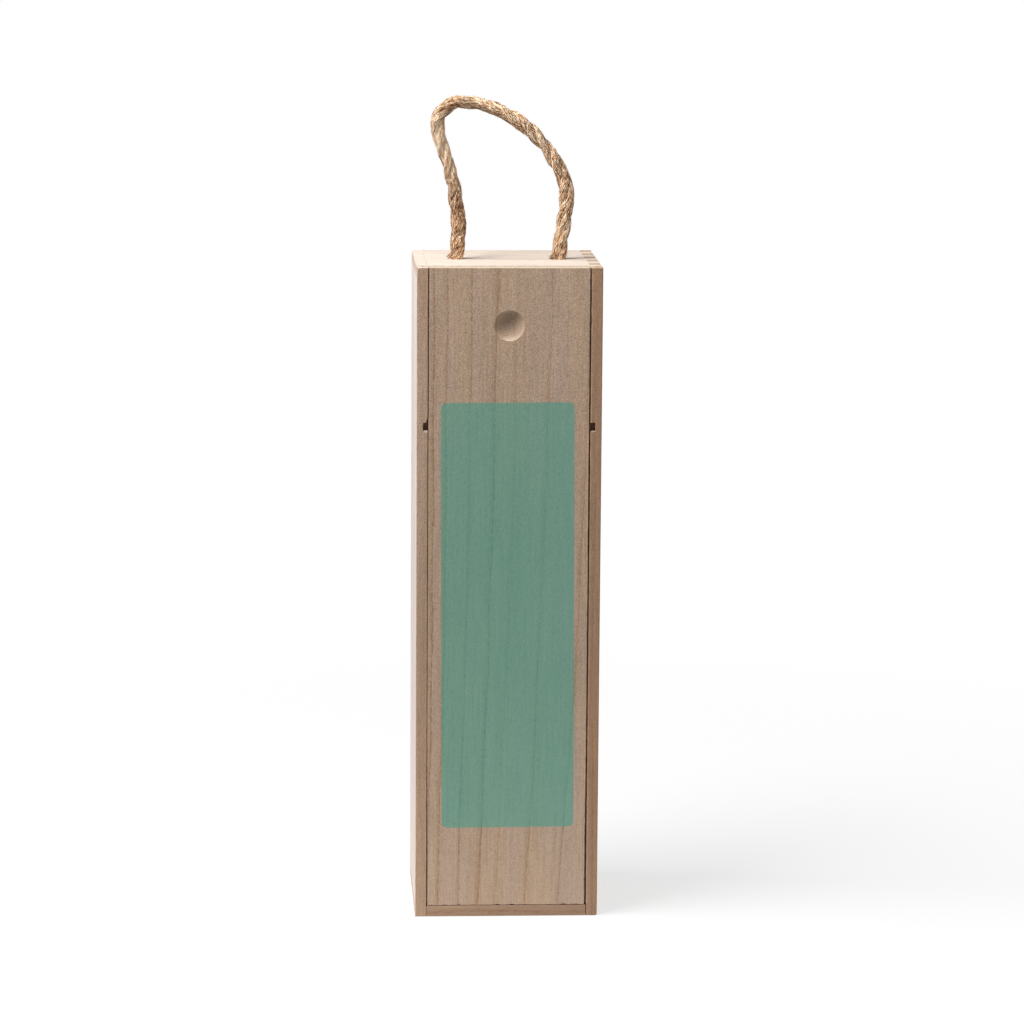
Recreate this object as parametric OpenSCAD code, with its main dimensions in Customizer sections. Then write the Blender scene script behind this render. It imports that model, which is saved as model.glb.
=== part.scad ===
// Single-bottle wooden box with a lid that slides up and out, and a rope handle.
// The origin is the middle of the base. The lid is at the front, which faces -Y.

/* [Case] */
// Width of the case
box_w = 98; // [90:0.5:140]
// Depth of the case, from the lid's face to the back
box_d = 94.5; // [88:0.5:130]
// Height of the case without its handle
box_h = 350; // [320:1:420]
// Thickness of the two side boards
side_t = 6; // [5:0.25:9]
// Thickness of the top and bottom boards
end_t = 6; // [5:0.25:9]
// Rounding of the case's four long edges
arris_r = 0.6; // [0.2:0.1:1.2]

/* [Corner joints] */
// Number of fingers on each end of the top and bottom boards
tails = 5; // [3:1:7]
// Room for glue between two fingers
glue_gap = 0.1; // [0.05:0.01:0.2]

/* [Grooves] */
// Depth of every groove
groove_depth = 3; // [2:0.25:4]
// Width of the grooves that the lid and the back sit in
groove_w = 5; // [4.8:0.1:6]
// Wood left outside those grooves, at the front and at the back
lip = 3.6; // [3:0.1:5]

/* [Lid] */
// Gap on each side of the lid when it lies in the middle
lid_gap = 0.6; // [0.5:0.05:1.5]
// How far the lid has slipped to the left in its grooves
lid_shift = 0.15; // [0:0.05:0.3]
// Thickness of the tongues round the lid and the back
tongue_t = 4.6; // [3:0.1:4.8]
// Room at the tip of each tongue
tip_gap = 0.5; // [0.4:0.1:1.5]
// Gap under the lid's shoulder when it is shut
seat_gap = 0.2; // [0.1:0.05:0.5]
// Rounding of the lid's front edges
lid_edge_r = 0.4; // [0.2:0.1:1]
// Diameter of the thumb recess at the lid's face
recess_d = 16.3; // [12:0.1:22]
// Depth of the thumb recess
recess_depth = 4.4; // [2.5:0.1:5]
// Distance from the top of the lid to the middle of the recess
recess_drop = 30.4; // [22:0.1:50]

/* [Coloured field] */
// Bare wood on each side of the coloured field
field_side = 7.1; // [4:0.1:20]
// Distance from the top of the lid to the field
field_drop = 71.2; // [50:0.1:80]
// Distance from the base of the case to the field
field_rise = 49.1; // [20:0.1:80]
// Slant of the field against the lid's edges, in degrees
field_slant = 0.35; // [0:0.05:1]
// Corner radius of the field
field_r = 3; // [1:0.1:10]
// Depth to which the wood is coloured
field_t = 0.2; // [0.1:0.05:0.5]

/* [Back] */
// Gap round the face of the back panel
back_gap = 0.3; // [0.1:0.05:0.6]

/* [Neck holder] */
// Height of the cross slots in the side boards
slot_h = 4.9; // [4.8:0.1:7]
// Depth of the cross slots
slot_depth = 2.5; // [2:0.25:4]
// Distance from the top of the case to the top of the slots
slot_drop = 82; // [75:0.1:110]
// Thickness of the neck holder
holder_t = 4.6; // [3:0.1:4.8]
// Width of the cut-out for the bottle's neck
neck_w = 33; // [29:0.5:40]
// Gap between the neck holder and the lid
holder_gap = 4; // [0.3:0.1:10]

/* [Rope handle] */
// Diameter of the rope
rope_d = 7.2; // [5:0.1:7.6]
// Diameter of the rope's holes
hole_d = 8; // [7.6:0.1:10]
// Distance between the two holes
hole_pitch = 54.8; // [40:0.1:60]
// How far the pair of holes lies to the right of the middle
hole_shift = 1.3; // [0:0.1:3]
// Width of each knot
knot_d = 19; // [15:0.5:23]
// Height of each knot
knot_h = 16; // [12:0.5:20]
// Length of the loose end below each knot
tail_l = 14; // [8:0.5:20]
// Gap between a knot and the top board
knot_gap = 0.3; // [0.2:0.05:0.5]

/* [Wear] */
// Width of the rubbed top corner of the left board
left_wear_w = 1.3; // [0.5:0.1:2.5]
// Height of that rubbed corner
left_wear_h = 4; // [1:0.1:6]
// Width of the splinter broken out above the left slot
splinter_w = 1; // [0.5:0.1:2]
// Height of that splinter
splinter_h = 2.2; // [1:0.1:4]
// Width of the chip at the lid's top right corner
lid_chip_w = 1; // [0.5:0.1:2]
// Height of that chip
lid_chip_h = 2.4; // [1:0.1:4]
// Size of the rubbed bottom corner of the right board
right_wear = 1.1; // [0.5:0.1:2]
// How far the wear reaches back from the front
wear_depth = 3; // [1:0.1:3]

/* [Hidden] */

wood = "#c8ab8c";
pale_wood = "#d8bd9e";
green = "#6d8f7e";
jute = "#c8a484";

over = 1;      // how far a cutter reaches past the wood
round_fn = 96; // facets of a preview circle

in_x = box_w / 2 - side_t;               // inner face of a side board
out_x = box_w / 2;
front_y = -box_d / 2;
back_y = box_d / 2;
under_top = box_h - end_t;               // underside of the top board
slide_gap = (groove_w - tongue_t) / 2;
face_t = lip + slide_gap;                // front layer of the lid, in front of its tongues
panel_t = face_t + tongue_t;             // the lid and the back are the same stock
tongue_l = groove_depth - tip_gap;       // how far a tongue reaches into a board
tongue_x = in_x + tongue_l;

tail_n = max(1, round(tails));
corner_w = lip + groove_w;               // first and last finger, which hold the grooves
finger_w = (box_d - 2 * corner_w) / (2 * tail_n - 1);

slot_top = box_h - slot_drop;
slot_z = slot_top - slot_h;
holder_z = slot_z + (slot_h - holder_t) / 2;
holder_x = in_x + slot_depth - tip_gap;   // half the length of the neck holder

face_x = in_x - lid_gap;                 // half the width of the lid's face
field_w = 2 * (face_x - field_side);
field_h = box_h - field_drop - field_rise;

recess_r = (pow(recess_d / 2, 2) + pow(recess_depth, 2)) / (2 * recess_depth);
hole_xs = [hole_shift - hole_pitch / 2, hole_shift + hole_pitch / 2];
knot_top = under_top - knot_gap;
rope_sides = 12;

// Middle of the rope's loop, as [x, y, height above the case]: up the left leg,
// round a tight bend at the upper left, and down a long curve on the right.
rope_loop = [[-25.6, 0.3, 9], [-25.2, 0.6, 15], [-25.5, 0.8, 22], [-26.8, 1, 30], [-28.1, 1.4, 39],
             [-30.3, 1.8, 48], [-33.1, 2.3, 57], [-35.7, 2.8, 65], [-36.6, 3.2, 70.8],
             [-35.9, 3.4, 75.6], [-33, 3.5, 79.6], [-28.5, 3.4, 82.6], [-22.3, 3.1, 83.5],
             [-14, 2.7, 82.5], [-6, 2.2, 80], [1.5, 1.7, 76.5], [8.5, 1.1, 72.2],
             [15.3, 0.5, 66.1], [21.5, 0, 59.2], [26.6, -0.5, 51.4], [30.3, -0.9, 44],
             [32.2, -1.1, 37], [32.3, -1.2, 29.5], [31.3, -1, 21.5], [30.2, -0.6, 13.5],
             [29.2, -0.3, 7]];

// Front edge of finger i of the middle row; the odd ones belong to the end boards.
function finger_y(i) = front_y + corner_w + (i - 1) * finger_w;

// Points of an arc from angle a to angle b.
function arc(centre, r, a, b, steps = 6) =
    [for (i = [0:steps]) centre + r * [cos(a + (b - a) * i / steps), sin(a + (b - a) * i / steps)]];

// A box from one corner to the opposite one.
module block(low, high) {
    translate(low) cube(high - low);
}

// A tube swept along a route that never runs front to back.
module tube(route, r, sides) {
    last = len(route) - 1;
    points = [for (i = [0:last])
        let (way = route[min(i + 1, last)] - route[max(i - 1, 0)],
            across = cross(way, [0, 1, 0]) / norm(cross(way, [0, 1, 0])),
            back = cross(across, way) / norm(way))
        for (s = [0:sides - 1]) let (turn = 360 * s / sides)
        route[i] + r * (cos(turn) * across + sin(turn) * back)];
    walls = [for (i = [0:last - 1]) for (s = [0:sides - 1])
        let (next = (s + 1) % sides)
        [i * sides + s, (i + 1) * sides + s, (i + 1) * sides + next, i * sides + next]];
    start = [for (s = [0:sides - 1]) s];
    end = [for (s = [sides - 1:-1:0]) last * sides + s];
    polyhedron(points, concat(walls, [start, end]), convexity = 6);
}

// Cutter that rubs the corner of a front face down to a quarter ellipse.
// The corner is at the origin and the wood lies on its right and below it.
module worn_corner(w, h) {
    rotate([90, 0, 0]) linear_extrude(2 * wear_depth, center = true)
        polygon(concat([[-over, -h], [-over, over], [w, over]],
            [for (a = [90:15:180]) [w + w * cos(a), -h + h * sin(a)]]));
}

// The groove for a panel in the right-hand side board.
module side_groove(y, z0, z1) {
    block([in_x - over, y, z0], [in_x + groove_depth, y + groove_w, z1]);
}

// The right-hand side board: a groove for the lid that runs out at both ends, a stopped
// groove for the back, a cross slot for the neck holder and sockets for the end boards.
module side_board() {
    difference() {
        linear_extrude(box_h)
            polygon(concat([[in_x, front_y]],
                arc([out_x - arris_r, front_y + arris_r], arris_r, -90, 0),
                arc([out_x - arris_r, back_y - arris_r], arris_r, 0, 90),
                [[in_x, back_y]]));
        side_groove(front_y + lip, -over, box_h + over);
        side_groove(back_y - lip - groove_w, end_t - groove_depth, under_top + groove_depth);
        block([in_x - over, front_y - over, slot_z], [in_x + slot_depth, back_y + over, slot_top]);
        for (i = [1:2:2 * tail_n - 1]) for (z = [-over, under_top - glue_gap / 2])
            block([in_x - over, finger_y(i), z],
                [out_x + over, finger_y(i) + finger_w, z + end_t + over + glue_gap / 2]);
    }
}

// A top or bottom board, from its front edge to the back, with its fingers.
module end_board(y0) {
    block([-in_x + glue_gap, y0, 0], [in_x - glue_gap, back_y, end_t]);
    for (i = [1:2:2 * tail_n - 1])
        block([-out_x, finger_y(i) + glue_gap, 0], [out_x, finger_y(i) + finger_w - glue_gap, end_t]);
}

module left_side() color(wood) difference() {
    mirror([1, 0, 0]) side_board();
    translate([-out_x, front_y, box_h]) worn_corner(left_wear_w, left_wear_h);
    translate([-in_x, front_y, slot_top]) rotate([90, 0, 0])
        linear_extrude(2 * wear_depth, center = true)
            scale([splinter_w, splinter_h]) circle(r = 1, $fn = round_fn);
}

module right_side() color(wood) difference() {
    side_board();
    translate([out_x, front_y, 0]) rotate([0, 180, 0]) worn_corner(right_wear, right_wear);
}

module top_board() color(pale_wood) difference() {
    translate([0, 0, under_top]) end_board(front_y + corner_w + glue_gap);
    block([-out_x, back_y - lip - groove_w, under_top - over],
        [out_x, back_y - lip, under_top + groove_depth]);
    for (x = hole_xs)
        translate([x, 0, under_top - over]) cylinder(h = end_t + 2 * over, d = hole_d, $fn = round_fn);
}

module bottom_board() color(wood) difference() {
    end_board(front_y);
    for (y = [front_y + lip, back_y - lip - groove_w])
        block([-out_x, y, end_t - groove_depth], [out_x, y + groove_w, end_t + over]);
}

module back_panel() color(wood) {
    block([-in_x + back_gap, back_y - face_t, end_t + back_gap],
        [in_x - back_gap, back_y, under_top - back_gap]);
    block([-tongue_x, back_y - panel_t, end_t - tongue_l],
        [tongue_x, back_y - face_t, under_top + tongue_l]);
}

module neck_holder() color(pale_wood) difference() {
    block([-holder_x, front_y + panel_t + holder_gap, holder_z],
        [holder_x, back_y - panel_t - back_gap, holder_z + holder_t]);
    translate([0, 0, holder_z - over])
        cylinder(h = holder_t + 2 * over, d = neck_w, $fn = round_fn);
    block([-neck_w / 2, front_y, holder_z - over], [neck_w / 2, 0, holder_z + holder_t + over]);
}

// The coloured field's outline, raised from the depth of the colour by the given height.
module field(height) {
    corner = [field_w / 2 - field_r, field_h / 2 - field_r];
    translate([0, front_y + field_t, box_h - field_drop - field_h / 2])
        rotate([90, -field_slant, 0]) linear_extrude(height)
            polygon([for (k = [0:3], p = arc([(k == 0 || k == 3 ? 1 : -1) * corner.x,
                (k < 2 ? 1 : -1) * corner.y], field_r, 90 * k, 90 * k + 90)) p]);
}

// The lid: a face that fills the gap between the side boards, and behind it the tongues
// that run in the side boards' grooves and end in the bottom board's groove.
module lid() color(wood) translate([-lid_shift, 0, 0]) difference() {
    translate([0, 0, end_t - tongue_l]) linear_extrude(box_h - end_t + tongue_l)
        polygon(concat(arc([-face_x + lid_edge_r, front_y + lid_edge_r], lid_edge_r, 180, 270),
            arc([face_x - lid_edge_r, front_y + lid_edge_r], lid_edge_r, 270, 360),
            [[face_x, front_y + face_t], [tongue_x, front_y + face_t],
             [tongue_x, front_y + panel_t], [-tongue_x, front_y + panel_t],
             [-tongue_x, front_y + face_t], [-face_x, front_y + face_t]]));
    block([-out_x, front_y - over, 0], [out_x, front_y + face_t, end_t + seat_gap]);
    translate([0, front_y + recess_depth - recess_r, box_h - recess_drop])
        sphere(r = recess_r, $fn = round_fn);
    field(field_t + over);
    translate([face_x, front_y, box_h]) mirror([1, 0, 0]) worn_corner(lid_chip_w, lid_chip_h);
}

module print_field() color(green) translate([-lid_shift, 0, 0]) field(field_t);

module rope_handle() color(jute) {
    loop = [for (p = rope_loop) p + [0, 0, box_h]];
    left = hole_xs[0];
    right = hole_xs[1];
    tube(concat([[left, 0, knot_top], [left, 0, box_h + over]], loop,
        [[right, 0, box_h + over], [right, 0, knot_top]]), rope_d / 2, rope_sides);
}

// A stopper knot with its loose end, hanging from the given place.
module knot(x) color(jute) translate([x, 0, knot_top]) rotate_extrude($fn = round_fn) {
    steps = 12;
    barrel = [for (i = [0:steps]) let (t = 2 * i / steps - 1)
        [max(rope_d, knot_d * sqrt(1 - pow(abs(t), 2.5))) / 2, -(t + 1) * knot_h / 2]];
    end_z = -knot_h - tail_l;
    polygon(concat([[0, 0]], barrel, [[rope_d / 2, end_z], [0, end_z]]));
}

module rope_knot_left() knot(hole_xs[0]);

module rope_knot_right() knot(hole_xs[1]);

left_side();
right_side();
top_board();
bottom_board();
back_panel();
neck_holder();
lid();
print_field();
rope_handle();
rope_knot_left();
rope_knot_right();
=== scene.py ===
# %% [markdown]
# # A wooden bottle box with a rope handle
# The real thing is a tall box of thin, pale boards for one bottle. Its front is a lid that
# slides up and out, its corners are finger-jointed, and a twisted jute rope is its handle.
# The boards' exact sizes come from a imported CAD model, which stays a fixed frame here.
# Blender adds what CAD leaves plain: soft edges, wood grain, wear and the twisted rope.

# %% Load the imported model
from functools import partial
from math import pi, radians

import bmesh
import bpy
import numpy as np
from mathutils import Matrix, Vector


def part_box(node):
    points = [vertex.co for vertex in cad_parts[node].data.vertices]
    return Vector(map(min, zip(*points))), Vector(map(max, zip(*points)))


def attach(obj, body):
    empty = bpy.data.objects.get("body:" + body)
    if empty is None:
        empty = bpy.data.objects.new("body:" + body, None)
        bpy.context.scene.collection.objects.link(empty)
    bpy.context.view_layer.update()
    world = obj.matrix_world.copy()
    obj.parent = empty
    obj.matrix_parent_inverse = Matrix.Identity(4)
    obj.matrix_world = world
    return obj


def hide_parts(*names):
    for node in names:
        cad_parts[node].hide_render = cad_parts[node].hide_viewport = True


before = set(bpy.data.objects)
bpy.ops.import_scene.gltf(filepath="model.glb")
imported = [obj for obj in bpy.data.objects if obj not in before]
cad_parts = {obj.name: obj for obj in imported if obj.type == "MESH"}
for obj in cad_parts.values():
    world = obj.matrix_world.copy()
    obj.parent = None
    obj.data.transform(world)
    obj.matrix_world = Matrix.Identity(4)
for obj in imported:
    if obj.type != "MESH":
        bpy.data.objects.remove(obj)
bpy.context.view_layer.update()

MM = 0.001
scene = bpy.context.scene
side_low, side_high = (np.array(corner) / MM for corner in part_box("left_side"))
box_top = float(side_high[2])
front_y = float(side_low[1])
lid_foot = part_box("lid")[0][2] / MM

# %% [markdown]
# ## The camera
# A camera needs a lens length and a place. Both can be worked out from a photograph of a
# box, because its eight corners are known once its proportions are. This one stands two
# metres away with a long lens, a little to the left and above, so that the box hardly tapers.

# %% Camera
LENS_MM = 142.468
SENSOR_MM = 36.0
EYE_MM = (-111.845, -2160.684, 571.010)
YAW, PITCH, ROLL = radians(-3.0774), radians(9.4067), radians(0.3866)

camera_data = bpy.data.cameras.new("camera")
camera_data.lens = LENS_MM
camera_data.sensor_width = SENSOR_MM
camera_data.clip_end = 50
camera = bpy.data.objects.new("camera", camera_data)
turned = (
    Matrix.Rotation(YAW, 4, "Z")
    @ Matrix.Rotation(pi / 2 - PITCH, 4, "X")
    @ Matrix.Rotation(ROLL, 4, "Z")
)
camera.matrix_world = Matrix.Translation([v * MM for v in EYE_MM]) @ turned
scene.collection.objects.link(camera)
scene.camera = camera
scene.view_settings.view_transform = "Standard"
print("camera at", [round(v, 3) for v in camera.location])

# %% [markdown]
# ## Curved lines and tubes
# Rope, knots and loose fibres are all tubes along a curved line. Blender's own curves can
# have a round thickness, but they can't carry three strands with ridges of their own. So a
# line is an array of points here, and a tube is a grid: one direction runs along the line,
# the other round it. With numpy the whole grid is worked out at once, and Blender gets it
# in a single call.


# %% Lines
def smooth_line(points, spacing):
    """Points at an even spacing on a curve through the given ones. Between two of them each
    place is a cubic mix of the four nearest points, the Catmull-Rom curve."""
    points = np.asarray(points, float)
    padded = np.vstack([2 * points[0] - points[1], points, 2 * points[-1] - points[-2]])
    t = np.linspace(0, 1, 24, endpoint=False)[None, :, None]
    a, b, c, d = (padded[i : len(points) - 1 + i, None] for i in range(4))
    curve = 0.5 * (2 * b + (c - a) * t + (2 * a - 5 * b + 4 * c - d) * t**2
                   + (3 * b - a - 3 * c + d) * t**3)
    curve = np.vstack([curve.reshape(-1, 3), points[-1:]])
    far = travelled(curve)
    even = np.linspace(0, far[-1], max(2, round(far[-1] / spacing)) + 1)
    return np.stack([np.interp(even, far, curve[:, i]) for i in range(3)], axis=1)


def travelled(line):
    """Distance from the start of a line to each of its points: the sum of the steps so far."""
    return np.r_[0, np.cumsum(np.linalg.norm(np.diff(line, axis=0), axis=1))]


def unit(vectors):
    """The same directions with length one."""
    return vectors / np.linalg.norm(vectors, axis=-1, keepdims=True)


def frames(line):
    """Direction, side and up at each point of a line. The side is carried along it: at each
    step it loses only the part that lies along the new direction, so it never twists."""
    ahead = unit(np.gradient(line, axis=0))
    side = np.empty_like(ahead)
    carried = np.array([1.0, 0.1, 0.05])
    for i, direction in enumerate(ahead):
        carried = carried - (carried @ direction) * direction
        carried = carried / np.linalg.norm(carried)
        side[i] = carried
    return ahead, side, np.cross(ahead, side)


# %% Tubes and pieces
def tubes(grid):
    """Corners and faces of closed tubes. The grid has the size tubes x rings x sides x 3:
    each point is joined to the next one round its ring and along its tube, and the first
    and the last ring are closed with one flat face each."""
    count, rings, sides = grid.shape[:3]
    number = np.arange(count * rings * sides).reshape(count, rings, sides)
    near, far = number[:, :-1], number[:, 1:]
    walls = np.stack([near, np.roll(near, -1, 2), np.roll(far, -1, 2), far], axis=-1)
    ends = np.concatenate([number[:, 0, ::-1], number[:, -1]])
    return grid.reshape(-1, 3), walls.reshape(-1, 4).tolist() + ends.tolist()


def add_piece(name, corners_mm, faces, body, slot, material, smooth=True):
    """A mesh object from corners in millimetres, riding on a body of the frame."""
    mesh = bpy.data.meshes.new(name)
    mesh.from_pydata((np.asarray(corners_mm) * MM).tolist(), [], faces)
    mesh.polygons.foreach_set("use_smooth", [smooth] * len(mesh.polygons))
    mesh.materials.append(material)
    mesh.validate()
    piece = bpy.data.objects.new(name, mesh)
    scene.collection.objects.link(piece)
    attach(piece, body)
    print(name, len(mesh.vertices), "corners,", len(mesh.polygons), "faces")
    return piece


# %% [markdown]
# ## Colours and nodes
# Colours are written as they are seen, in sRGB hex, and one function turns them into the
# linear values that Blender's shaders count in. A material is a tree of nodes, and one small
# function adds any of them. It takes other nodes as inputs, so a formula reads from its
# innermost part outwards, one node a line.


# %% Colour and node helpers
def colour(text):
    """Linear red, green, blue and alpha of an sRGB hex colour."""
    seen = np.array([int(text[i : i + 2], 16) for i in (1, 3, 5)]) / 255
    linear = np.where(seen <= 0.04045, seen / 12.92, ((seen + 0.055) / 1.055) ** 2.4)
    return (*linear.tolist(), 1.0)


def add_node(tree, kind, inputs=(), **settings):
    """Adds a node, sets its properties and fills its sockets, by name or in the order of
    those in use, with numbers, sockets or other nodes. A node given as an input stands for
    its first output in use."""
    made = tree.nodes.new("ShaderNode" + kind)
    for key, value in settings.items():
        setattr(made, key, value)
    if isinstance(inputs, dict):
        pairs = [(made.inputs[name], value) for name, value in inputs.items()]
    else:
        pairs = zip([socket for socket in made.inputs if socket.enabled], inputs)
    for socket, value in pairs:
        if isinstance(value, bpy.types.Node):
            value = next(output for output in value.outputs if output.enabled)
        if isinstance(value, bpy.types.NodeSocket):
            tree.links.new(value, socket)
        else:
            socket.default_value = value
    return made


def fill_ramp(ramp, stops):
    """Gives a colour ramp its stops, each a position and a colour."""
    elements = ramp.color_ramp.elements
    while len(elements) < len(stops):
        elements.new(1.0)
    for element, (position, shade) in zip(elements, stops):
        element.position = position
        element.color = shade


def new_material(name):
    """An empty node material and its tree."""
    material = bpy.data.materials.new(name)
    material.use_nodes = True
    material.node_tree.nodes.clear()
    return material, material.node_tree


print("wood tan in linear light:", [round(value, 3) for value in colour("#c0a48a")])

# %% [markdown]
# ## Jute
# Jute is a coarse plant fibre, spun without combing: pale gold where it lies open to the
# light, deep brown between the fibres, and dry, so it hardly shines. The pattern has to
# follow the twist, so it reads attributes that the rope's mesh carries: where a point is
# along and round its strand, how bright its fibre is and how deep it lies. Where it lies
# deep, its colour is darkened as painted shade.

# %% Jute material
FIBRE_MM = 0.5         # real fibres are 0.05 to 0.1 mm wide, drawn coarser so that they show
FIBRE_LONG_MM = 3.2
CLUMP_MM = 4.0         # size of the places where the fibres lie open and show their shadows
JUTE_TONES = [(0.0, "#582f12"), (0.3, "#a86d3d"), (0.55, "#dda976"), (1.0, "#ffecd0")]


def jute_material():
    """Hairy spun jute: fine streaks along the fibres, and painted shade where it lies deep. Its
    shade is streaks + tone - clumps * (0.6 - 0.7 * streaks) - depth, from deep brown to pale gold."""
    material, tree = new_material("spun_jute_fibre")
    place = add_node(tree, "Attribute", attribute_name="fibre_place").outputs["Vector"]
    tone = add_node(tree, "Attribute", attribute_name="fibre_tone").outputs["Fac"]
    depth = add_node(tree, "Attribute", attribute_name="fibre_depth").outputs["Fac"]
    stretched = add_node(tree, "Mapping", {
        "Vector": place, "Scale": (1 / FIBRE_MM, 1 / FIBRE_LONG_MM, 1)})
    streaks = add_node(tree, "TexNoise", {
        "Vector": stretched, "Scale": 1.0, "Detail": 3.0, "Roughness": 0.65})
    spread = add_node(tree, "MapRange", {"Value": streaks, "From Min": 0.4, "From Max": 0.6})
    mixed = add_node(tree, "Math", (spread, tone), operation="ADD")
    clumps = add_node(tree, "TexNoise", {"Vector": place, "Scale": 1 / CLUMP_MM})
    clumps = add_node(tree, "MapRange", {"Value": clumps, "From Min": 0.48, "From Max": 0.62})
    gaps = add_node(tree, "Math", (spread, -0.7, 0.6), operation="MULTIPLY_ADD")
    deep = add_node(tree, "Math", (clumps, gaps, depth), operation="MULTIPLY_ADD")
    shade = add_node(tree, "Math", (mixed, deep), operation="SUBTRACT")
    ramp = add_node(tree, "ValToRGB", [shade])
    fill_ramp(ramp, [(position, colour(text)) for position, text in JUTE_TONES])
    bump = add_node(tree, "Bump", {"Height": streaks, "Strength": 0.7, "Distance": 0.4 * MM})
    shader = add_node(tree, "BsdfPrincipled", {
        "Base Color": ramp, "Normal": bump, "Roughness": 0.85, "IOR": 1.5,
        "Specular IOR Level": 0.15, "Sheen Weight": 0.05, "Sheen Roughness": 0.5})
    add_node(tree, "OutputMaterial", {"Surface": shader})
    return material


jute = jute_material()
print(jute.name, "has", len(jute.node_tree.nodes), "nodes")

# %% [markdown]
# ## The rope handle
# The rope is laid from three strands, and each strand is spun from many fibres. It goes
# down through two holes in the top board. Its middle line is the route that the CAD model
# uses: up the left leg, round a tight bend, and down a long curve on the right. Each
# strand winds round that line like the thread of a right-handed screw. A picture of a rope
# on a round tube would look flat at its edges, so the strands are real grooves and ridges.

# %% Route of the rope
ROPE_D = 7.2
ROPE_LAY = 34.0        # length of rope in which a strand winds round once
HOLE_X = (-26.1, 28.7)
KNOT_TOP = 343.7       # the height at which the knots press against the top board
CROWN = 351.0          # just above the top board
ROPE_LOOP = [
    [-25.6, 0.3, 9], [-25.2, 0.6, 15], [-25.5, 0.8, 22], [-26.8, 1, 30], [-28.1, 1.4, 39],
    [-30.3, 1.8, 48], [-33.1, 2.3, 57], [-35.7, 2.8, 65], [-36.6, 3.2, 70.8],
    [-35.9, 3.4, 75.6], [-33, 3.5, 79.6], [-28.5, 3.4, 82.6], [-22.3, 3.1, 83.5],
    [-14, 2.7, 82.5], [-6, 2.2, 80], [1.5, 1.7, 76.5], [8.5, 1.1, 72.2],
    [15.3, 0.5, 66.1], [21.5, 0, 59.2], [26.6, -0.5, 51.4], [30.3, -0.9, 44],
    [32.2, -1.1, 37], [32.3, -1.2, 29.5], [31.3, -1, 21.5], [30.2, -0.6, 13.5],
    [29.2, -0.3, 7],
]
above = [[x, y, z + box_top] for x, y, z in ROPE_LOOP]
route = np.array(
    [[HOLE_X[0], 0, KNOT_TOP], [HOLE_X[0], 0, CROWN], *above,
     [HOLE_X[1], 0, CROWN], [HOLE_X[1], 0, KNOT_TOP]])
rope_line = smooth_line(route, spacing=0.55)
rope_length = travelled(rope_line)[-1]
# Distance along the rope and its thickness there: it is swollen at its feet and in places
THICKNESS = [(0, 1.0), (12, 1.05), (25, 1.13), (34, 1.03), (50, 1.0), (58, 0.94), (74, 0.94),
             (86, 1.06), (97, 1.02), (110, 0.88), (118, 0.97), (124, 0.95), (132, 1.11),
             (141, 1.03), (150, 0.89), (160, 1.07), (169, 0.98), (178, 1.12), (186, 1.04),
             (194, 1.13), (204, 1.12), (212, 1.02), (220, 1.0)]
# Change of tone along the rope: paler on the upper left leg, which is painted light, and darker or
# paler in other places
TONES = [(0, 0.02), (12, -0.03), (25, -0.15), (45, 0.06), (62, 0.52), (80, 0.55), (87, -0.05),
         (96, -0.02), (104, 0.18), (150, 0.2), (178, 0.05), (200, 0.17), (220, 0.05)]
print("rope from knot to knot:", round(rope_length, 1), "mm")


# %% Strands
STRAND_SHARE = 0.292   # radius of a strand, as a share of the rope's thickness
STRAND_SHIFT = 90      # shift of the pattern along the rope from strand to strand


def ripple(random, shape, around, along, turns=(3, 14), waves=(0.15, 0.9), count=14):
    """Soft noise between about -1 and 1 that closes round a tube: a sum of waves, each with
    a whole number of turns round it, a slow change along it and a chance start."""
    total = np.zeros(shape)
    for _ in range(count):
        turn = random.integers(*turns)
        wave = random.uniform(*waves) * random.choice([-1, 1])
        total += np.sin(turn * around + wave * along + random.uniform(0, 2 * pi))
    return total / np.sqrt(count / 2) / 2


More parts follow.
